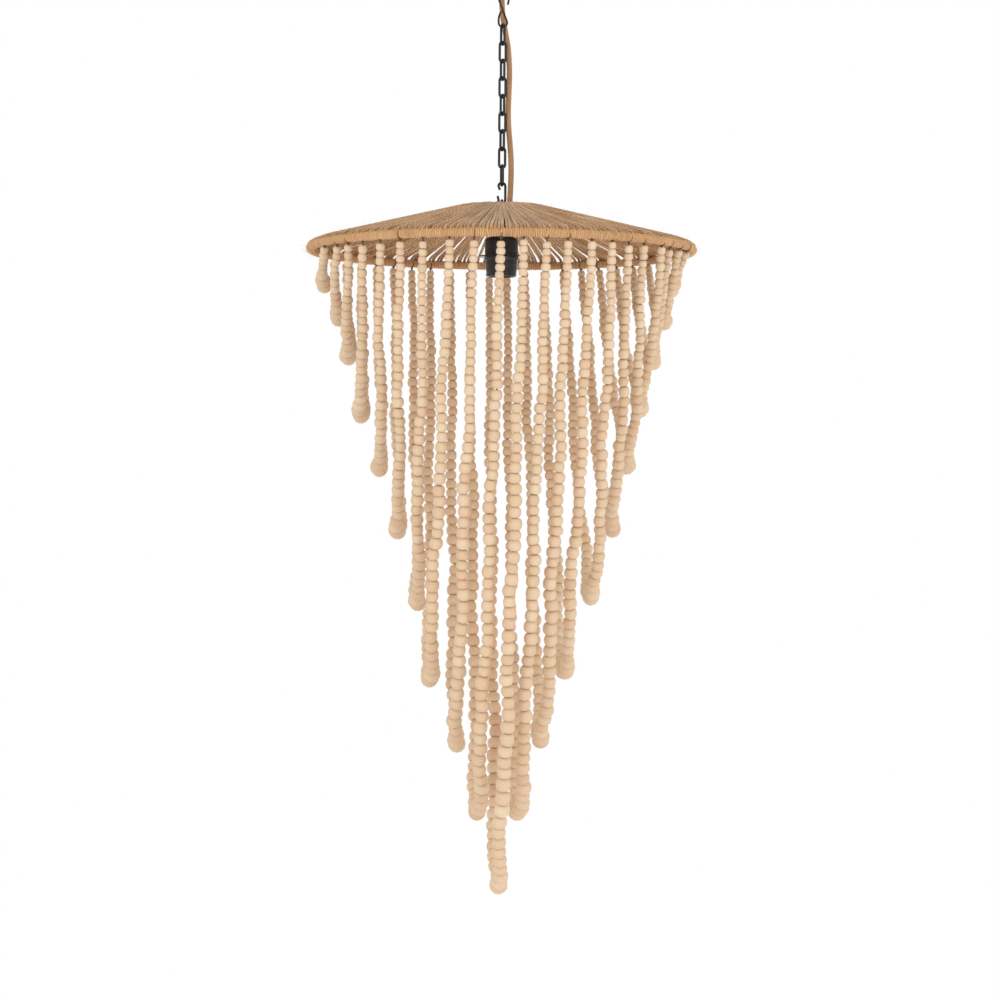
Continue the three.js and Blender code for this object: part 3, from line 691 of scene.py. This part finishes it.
# Knots: each strand's string comes out between the turns of the rim and is tied below it
knot = {
    # the tie goes round the rim from the lowest to the highest angle, and its two ends sink in
    "string": .0006, "rise": .0001, "lowest": -215, "highest": (-95, 60), "sink": .0016, "sinkPower": 6,
    "lean": .0012, "tiePoints": 24, "sides": 6,
    # the lump under it, and the cut ends
    "lump": .00125, "lumpPoints": 30, "lumpDrop": .0007, "thicker": 1.1,
    "tails": .008, "tailShares": (.3, 1), "tailAim": (1, 1, .5), "tailOut": .8, "tailDown": .2, "tailSag": .3,
    "tailThin": .6, "tailPoints": 6, "tailSides": 4,
}


def makeKnots():
    # Ties, lumps and cut ends, each as one mesh of tubes placed by the rim's outward and tangent
    # directions at the strands' ends
    v = Named(**knot)
    chance = np.random.default_rng(11)
    count = strand["halfCount"]
    ends = [(x, -y) for x, y in (rimEnd(k, "front") for k in range(-count, count + 1))]
    ends += [rimEnd(k, "rear") for k in range(-count, count + 1)]
    out = np.array([(x, y, 0) for x, y in ends]) / rim["radius"]
    n = len(out)
    tangent = np.stack([-out[:, 1], out[:, 0], 0 * out[:, 0]], -1)
    reach = rim["wrap"] + v.rise
    middle = out * rim["radius"] + (0, 0, level["rim"])
    t = np.linspace(0, 1, v.tiePoints)
    highest = chance.uniform(*v.highest, (n, 1))
    a = np.radians(v.lowest + t * (highest - v.lowest))
    depth = reach - v.sink * np.abs(2 * t - 1) ** v.sinkPower
    paths = middle[:, None] + depth[None, :, None] * (
        np.cos(a)[..., None] * out[:, None] + np.sin(a)[..., None] * upward)
    paths = paths + (chance.normal(0, v.lean, (n, 1)) * t)[..., None] * tangent[:, None]
    made = tubes("rimTies", paths, v.string, v.sides, (.31, .22, .1))
    dress(made, knotString, "shade")
    # a small overhand lump under the rim: a short trefoil-like loop
    b = np.linspace(0, 2 * np.pi, v.lumpPoints, endpoint=False)
    lump = np.stack([np.cos(b) + .5 * np.cos(2 * b), np.sin(b) - .5 * np.sin(2 * b), .45 * np.sin(3 * b)], -1)
    lump = lump * v.lump
    lumps = middle[:, None] + lump[None, :, 0:1] * out[:, None] + lump[None, :, 1:2] * tangent[:, None]
    lumps = lumps + (lump[None, :, 2:3] - reach - v.lumpDrop) * upward
    made = tubes("knots", lumps, v.string * v.thicker, v.sides, (.01, .02, 1), closed=True)
    dress(made, knotString, "shade")
    # two cut ends stand out of each knot
    m = 2 * n
    base = np.repeat(middle + (0, 0, -reach), 2, 0)
    aim = chance.normal(0, 1, (m, 3)) * v.tailAim + np.repeat(out, 2, 0) * v.tailOut
    aim = unit(aim + (0, 0, -v.tailDown))
    s = np.linspace(0, 1, v.tailPoints)
    long = v.tails * chance.uniform(*v.tailShares, (m, 1, 1))
    sag = -upward * (s ** 2)[None, :, None] * long * v.tailSag
    radii = np.broadcast_to(v.string * (1 - v.tailThin * s), (m, v.tailPoints))
    made = tubes("knotEnds", base[:, None] + aim[:, None] * s[None, :, None] * long + sag, radii,
                 v.tailSides, (.21, .33, .9))
    dress(made, knotString, "shade")


makeKnots()


# Loose fibres that stand off the jute
fibre = {
    "onCone": 420, "onRim": 200, "radius": .00012, "thin": .7, "points": 7, "sides": 3,
    "longest": .013, "shares": (.15, 1), "sharePower": 1.7, "curl": .5,
    "coneSink": .001, "coneUp": .45, "coneLift": .15, "rimSpread": .005, "rimReach": .9, "rimUp": .6,
}


def makeFibres():
    # Each starts in the jute, runs along its aim and curls away from it by the square of the distance
    v = Named(**fibre)
    chance = np.random.default_rng(77)
    n = v.onCone + v.onRim
    onRim = np.arange(n) >= v.onCone
    a = chance.uniform(0, 2 * np.pi, n)
    r = np.where(onRim, rim["radius"], np.sqrt(chance.uniform(.01, 1, n)) * rim["radius"])
    out = np.stack([np.cos(a), np.sin(a), 0 * a], -1)
    base = out * r[:, None]
    rimHeight = level["rim"] + chance.uniform(-v.rimSpread, v.rimSpread, n)
    base[:, 2] = np.where(onRim, rimHeight, coneTop(r) - v.coneSink)
    base[onRim] += out[onRim] * rim["wrap"] * v.rimReach
    aim = chance.normal(0, 1, (n, 3))
    aim[:, 2] = np.where(onRim, aim[:, 2] * v.rimUp, np.abs(aim[:, 2]) * v.coneUp + v.coneLift)
    aim[onRim] += out[onRim]
    aim = unit(aim)
    curl = np.cross(aim, chance.normal(0, 1, (n, 3)))
    s = np.linspace(0, 1, v.points)
    long = v.longest * chance.uniform(*v.shares, (n, 1, 1)) ** v.sharePower
    curled = curl[:, None] * (s ** 2)[None, :, None] * v.curl
    paths = base[:, None] + long * (aim[:, None] * s[None, :, None] + curled)
    radii = np.broadcast_to(v.radius * (1 - v.thin * s), (n, v.points))
    made = tubes("looseFibres", paths, radii, v.sides, (.37, .21, .9))
    dress(made, coneJute, "shade")


makeFibres()
print("shade dressed")


# Frame wires under the jute, wound with it so that no steel shows
wires = {
    "ring": .0025, "spoke": .002, "rimWire": .003, "clear": .0003, "spokes": 4, "sides": 12, "rows": 96, "points": 12,
}


def makeFrameWires():
    # Two level rings, and spokes that fall evenly from the crown ring to just short of the rim's wire
    v = Named(**wires)
    for name, node, radius in (("hubRing", "hub_ring", crown["hub"]), ("crownRing", "crown_ring", crown["radius"])):
        path = circle(radius, level["ring"], v.rows)
        ring = tubes(name, path[None], v.ring, v.sides, (0, 0, 1), closed=True)
        dress(ring, wireJute, "shade", node)
    slope = (level["ring"] - level["rim"]) / (rim["radius"] - crown["radius"])
    inset = v.clear + v.spoke * slope
    r = np.linspace(crown["radius"] + v.ring + inset, rim["radius"] - v.rimWire - inset, v.points)
    for i in range(v.spokes):
        a = math.pi / 4 + i * math.pi / 2
        path = np.stack([r * math.cos(a), r * math.sin(a), level["ring"] - (r - crown["radius"]) * slope], -1)
        spoke = tubes(f"spoke{i + 1}", path[None], v.spoke, v.sides, (0, 0, 1))
        dress(spoke, wireJute, "shade", f"spoke_{i + 1}")


makeFrameWires()


# Chain, hook and eyes
chain = {
    "links": 9, "wire": .0019, "sides": 12, "inside": .0267, "width": .0103, "pitch": .0264,
    "twist": 24, "lastTwist": .4, "gap": .009, "spread": .0022, "edge": .0003,
}


def stadiumPath(z, turn, rows=14):
    # Two half circles joined by straight sides, in a plane turned about Z
    radius = chain["width"] / 2
    straight = chain["inside"] / 2 + chain["wire"] - radius
    a = np.linspace(0, np.pi, rows)
    x = np.concatenate([radius * np.cos(a), -radius * np.cos(a)])
    h = np.concatenate([straight + radius * np.sin(a), -straight - radius * np.sin(a)])
    return np.stack([x * math.cos(turn), x * math.sin(turn), z + h], -1)


def makeChain():
    # Each link a pitch below the last and turned a quarter from it, and then the open link
    v = Named(**chain)
    for i in range(v.links):
        # the chain is turned a little on its line, and the last link less so
        share = 1 if i + 1 < v.links else v.lastTwist
        turn = math.pi / 2 * ((i + 1) % 2) + math.radians(v.twist) * share
        z = level["firstLink"] - v.pitch * i
        side = (-math.sin(turn), math.cos(turn), 0)
        link = tubes(f"link{i + 1}", stadiumPath(z, turn)[None], v.wire, v.sides, side, closed=True)
        dress(link, blackSteel, "hanger", f"link_{i + 1}")
    path = stadiumPath(level["openLink"], 0)
    half = len(path) // 2
    lowTip = (-v.width / 2 - v.spread / 2, 0, level["openLink"] - v.gap / 2)
    highTip = (-v.width / 2 + v.spread, 0, level["openLink"] + v.gap / 2)
    path = np.concatenate([[lowTip], path[half:], path[:half], [highTip]])
    openLink = tubes("openLink", path[None], v.wire, v.sides, (0, 1, 0))
    dress(softened(openLink, v.edge), blackSteel, "hanger", "open_link")


hook = {
    "wire": .0016, "sides": 12, "lower": .0064, "upper": .008, "length": .055,
    "upperArc": (0, 200, 22), "lowerArc": (25, -180, 22), "shankPoints": 8, "edge": .0003,
    "closing": [(-1.03, 1.55), (-.97, 2.2), (-.8, 2.8), (-.56, 3.35), (-.44, 3.7)],
    "tail": [(.88, -1.7), (1.04, -1.1), (1.08, -.5)],
}


def makeHook():
    # An upper and a lower arc joined by a straight shank, with the tail and the closing end beyond
    # them, whose points are in shares of the arcs' radii
    v = Named(**hook)
    a, b = (np.radians(np.linspace(*arc)) for arc in (v.upperArc, v.lowerArc))
    middle = v.length - v.upper
    upper = np.stack([v.upper * np.cos(a), 0 * a, middle + v.upper * np.sin(a)], -1)
    lower = np.stack([v.lower * np.cos(b), 0 * b, v.lower + v.lower * np.sin(b)], -1)
    closing = np.array([(x * v.lower, 0, z * v.lower) for x, z in v.closing])
    tail = np.array([(x * v.upper, 0, middle + z * v.upper) for x, z in v.tail])
    shank = upper[-1] + (lower[0] - upper[-1]) * np.linspace(0, 1, v.shankPoints)[1:-1, None]
    path = np.concatenate([tail, upper, shank, lower, closing]) + (0, 0, level["hookFoot"])
    made = tubes("ceilingHook", path[None], v.wire, v.sides, (0, 1, 0))
    dress(softened(made, v.edge), blackSteel, "hanger", "ceiling_hook")


eye = {
    "radius": .008, "wire": .002, "stem": .003, "stemTop": .0065, "ridge": .035, "pitch": .0008,
    "points": 48, "sides": 14, "stemRows": 90, "stemSides": 20, "ceilingHigh": -.0023, "crownLow": -.3935,
}


def makeEye(name, z, low, high, body, node):
    # A ring of wire in the plane of Y and Z, and its stem, whose radius has a fine sine for the thread
    v = Named(**eye)
    u = around(v.points)
    path = np.stack([0 * u, v.radius * np.cos(u), z + v.radius * np.sin(u)], -1)
    ring = tubes(name, path[None], v.wire, v.sides, (1, 0, 0), closed=True)
    dress(ring, blackSteel, body, node)
    rows = np.linspace(low, high, v.stemRows)
    ridge = v.stem * (1 + v.ridge * np.sin((rows - low) / v.pitch * 2 * np.pi))
    path = np.stack([0 * rows, 0 * rows, rows], -1)
    stem = tubes(name + "Stem", path[None], ridge[None], v.stemSides, (1, 0, 0))
    dress(stem, blackSteel, body)


makeChain()
makeHook()
makeEye("ceilingEye", level["ceilingEye"], level["ceilingEye"] + eye["stemTop"], eye["ceilingHigh"],
        "ceiling", "ceiling_eye")
makeEye("crownEye", level["crownEye"], eye["crownLow"], level["crownEye"] - eye["stemTop"], "shade", "crown_eye")
print("chain hung")


# Canopy and cord grip
canopy = {
    "radius": .05, "depth": .034, "wall": .0014, "hole": .0033, "shoulder": .36, "straight": .62, "edge": .0004,
    "gripAt": .017, "gripEdge": .0002,
    # the grip's outline from its foot up, as radius and height
    "grip": [
        (.0045, -.0518), (.0056, -.0518), (.0068, -.048), (.0072, -.037), (.0088, -.0366), (.009, -.036),
        (.009, -.0344), (.007, -.0342), (.007, -.0302), (.0045, -.0302),
    ],
}


def makeCanopy():
    # A cup with a straight side and a quarter-ellipse shoulder, and the same a wall's thickness inside
    v = Named(**canopy)
    shoulder, lip = v.radius * v.shoulder, -v.depth * v.straight
    across, down = shoulder * np.cos(quarter), (v.depth + lip) * np.sin(quarter)
    bend = np.stack([v.radius - shoulder + across, lip - down], -1)
    inner = bend[::-1] * ((v.radius - v.wall) / v.radius, 1)
    inner[:, 1] = lip + (inner[:, 1] - lip) * ((v.depth - v.wall) + lip) / (v.depth + lip)
    hole = [(v.hole, -v.depth), (v.hole, -v.depth + v.wall)]
    profile = [(v.radius, 0), *bend, *hole, *inner, (v.radius - v.wall, 0)]
    turned("canopyShell", profile[::-1], 96, v.edge, blackSteel, "ceiling", "canopy")
    turned("cordGrip", v.grip[::-1], 48, v.gripEdge, blackPlastic, "ceiling", "cord_grip",
           centre=(0, v.gripAt))


makeCanopy()


# Lampholder: cap, sleeve and screw ring, with the brass shell inside. Outlines are radius and height.
holder = {
    "plateTop": -.4511, "plateFoot": -.4529, "clear": .0003, "edge": .0003,
    # the cap over the plate: its foot, a groove, the outside and inside of its shoulder, the lead's hole
    "capFoot": [(.0228, 0), (.025, 0)],
    "capGroove": [(.025, .002), (.0246, .0024), (.0246, .003), (.025, .0034)],
    "shoulder": (.018, .0208), "shoulderOut": (.007, .0072), "shoulderIn": (.0048, .005),
    "leadHole": [(.0047, .028), (.0047, .0258)],
    # the sleeve through the plate
    "sleeveIn": .0171, "sleeveOut": .0195, "sleeveDown": .0247, "sleeveUp": .018, "sleeveEdge": .0004,
    # the screw ring under the plate, with a round thread between two plain ends
    "ringIn": .0198, "ringOut": .0255, "narrowing": .003, "ringDeep": .029, "ringRows": 120,
    "threadPitch": .0032, "threadDepth": .0005, "threadFrom": .0045, "threadTo": .0275, "threadEase": .0008,
    # the rolled brass shell, and the disc and the contact over it
    "shellDown": .006, "shell": .0136, "roll": .0004, "turns": 24 / 3.6, "shellDeep": .024, "shellWall": .0006,
    "shellRows": 60, "discEdge": .0005,
    "disc": [(.0004, .0003), (.0168, .0003), (.0168, .0063), (.0004, .0063)],
    "contact": [(.0003, -.004), (.0036, -.0036), (.005, -.0022), (.005, 0), (.0003, 0)],
}


def raised(outline, z):
    # Heights plus z
    return [(r, z + h) for r, h in outline]


def makeHolder():
    # Every piece is an outline carried round Z. The screw ring's radius falls evenly with the depth,
    # less threadDepth * (1 - cos) / 2 over its threaded part; the shell's is a sine
    v = Named(**holder)
    top, foot = v.plateTop + v.clear, v.plateFoot - v.clear
    r, h = v.shoulder
    capOut, capIn = (np.stack([r + wide * np.cos(quarter), top + h + high * np.sin(quarter)], -1)
                     for wide, high in (v.shoulderOut, v.shoulderIn))
    outline = [*raised(v.capFoot + v.capGroove, top), *capOut, *raised(v.leadHole, top), *capIn[::-1]]
    turned("holderCap", outline, 72, v.edge, blackPlastic, "shade", "lampholder_cap")
    low, high = foot - v.sleeveDown, v.plateTop + v.sleeveUp
    outline = [(v.sleeveIn, low), (v.sleeveOut, low), (v.sleeveOut, high), (v.sleeveIn, high)]
    turned("holderSleeve", outline, 64, v.sleeveEdge, blackPlastic, "shade", "lampholder_sleeve")
    down = np.linspace(0, v.ringDeep, v.ringRows)
    outer = v.ringOut - v.narrowing * down / v.ringDeep
    groove = .5 - .5 * np.cos(2 * np.pi * (down - v.threadFrom) / v.threadPitch)
    begun, ended = ease((down - v.threadFrom) / v.threadEase), ease((v.threadTo - down) / v.threadEase)
    outer = outer - v.threadDepth * groove * begun * ended
    outline = [(v.ringIn, foot - v.ringDeep), *zip(outer[::-1], foot - down[::-1]), (v.ringIn, foot)]
    turned("screwRing", outline, 96, 0, blackPlastic, "shade", "retaining_ring")
    shellTop = v.plateTop + v.sleeveUp - v.shellDown - v.clear
    rows = np.linspace(0, 1, v.shellRows)
    rolled = v.shell - v.roll + v.roll * np.sin(rows * v.turns * 2 * np.pi)
    outer = np.stack([rolled, shellTop - v.shellDeep * rows], -1)
    inner = outer[::-1] - (v.shellWall, 0)
    outline = np.concatenate([outer, inner])[::-1]
    turned("contactShell", outline, 64, 0, brassMetal, "shade", "contact_shell")
    outline = raised(v.disc, shellTop)
    turned("insulatorDisc", outline, 48, v.discEdge, whiteCeramic, "shade", "insulator")
    outline = raised(v.contact, shellTop)
    turned("centreContact", outline, 40, v.edge, brassMetal, "shade", "centre_contact")


makeHolder()
print("lampholder made")


# Cord stub inside the canopy, and the pieces that stay as they are
def makeTail():
    # A straight tube over the CAD tail's height
    low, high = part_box("supply_tail")
    up = np.linspace(low[2], high[2], 12)
    path = np.stack([0 * up, canopy["gripAt"] + 0 * up, up], -1)
    made = tubes("supplyTail", path[None], supplyCord["radius"], supplyCord["sides"], (0, 1, 0))
    dress(made, cordJute, "ceiling", "supply_tail")


makeTail()
for node, (material, _) in {
    "mounting_plate": zincSteel, "canopy_nut": zincSteel, "crown_nut": zincSteel, "terminal_block": whiteCeramic,
    "rim_ring": blackSteel, "crown_bar": blackSteel, "holder_bracket": blackSteel,
}.items():
    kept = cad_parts[node]
    kept.data.materials.clear()
    kept.data.materials.append(material)


# Room: a pale floor below, a plain white surround and soft lamps
room = {
    "floor": -2.4, "reach": 3.4, "sides": 96, "paint": ("f1f2f5", "f5f6f9"),
    "surround": .96, "surroundColour": (1, .972, .925, 1), "aim": (0, 0, -.75),
    # place, power and size of each lamp
    "lamps": {
        "keyLamp": ((-2.6, -3.4, .35), 32, 2.6), "fillLamp": ((1.8, -3.3, -1.9), 38, 2.2),
        "backLamp": ((.6, 3.2, -.4), 60, 2.6),
    },
}


def whiteToCamera(tree, other):
    # Plain white where a camera, mirror or glass ray sees it, and the other shader for all the rest
    rays = addNode(tree, "ShaderNodeLightPath").outputs
    most = rays["Is Camera Ray"]
    for name in ("Is Glossy Ray", "Is Transmission Ray"):
        most = addNode(tree, "ShaderNodeMath", {0: most, 1: rays[name]}, operation="MAXIMUM").outputs[0]
    white = addNode(tree, "ShaderNodeBackground", {"Color": (1, 1, 1, 1), "Strength": 1.0}).outputs[0]
    return addNode(tree, "ShaderNodeMixShader", {0: most, 1: other, 2: white}).outputs[0]


def makeRoom():
    # The lamps lie all round the light and each is turned to the aim
    v = Named(**room)
    world = bpy.data.worlds.new("surround")
    scene.world = world
    world.use_nodes = True
    tree = world.node_tree
    soft = tree.nodes["Background"]
    soft.inputs["Color"].default_value = v.surroundColour
    soft.inputs["Strength"].default_value = v.surround
    tree.links.new(whiteToCamera(tree, soft.outputs[0]), tree.nodes["World Output"].inputs["Surface"])
    points = circle(v.reach, v.floor, v.sides)
    floor = meshObject("floor", points, [np.arange(v.sides)[None]], smooth=False)
    paint = Finish("palePaint", .8, specular=.2)
    paint.colour(paint.ramp(paint.noise(paint.place(), 3), list(zip((0.0, 1.0), v.paint))))
    floor.data.materials.append(paint.material)
    for name, (place, power, size) in v.lamps.items():
        data = bpy.data.lights.new(name, "AREA")
        data.energy, data.size = power, size
        lamp = bpy.data.objects.new(name, data)
        lamp.location = place
        aim = np.array(place) - np.array(v.aim)
        lamp.rotation_euler = (math.acos(aim[2] / np.linalg.norm(aim)), 0, math.atan2(aim[1], aim[0]) + math.pi / 2)
        scene.collection.objects.link(lamp)


makeRoom()
print("room lit")
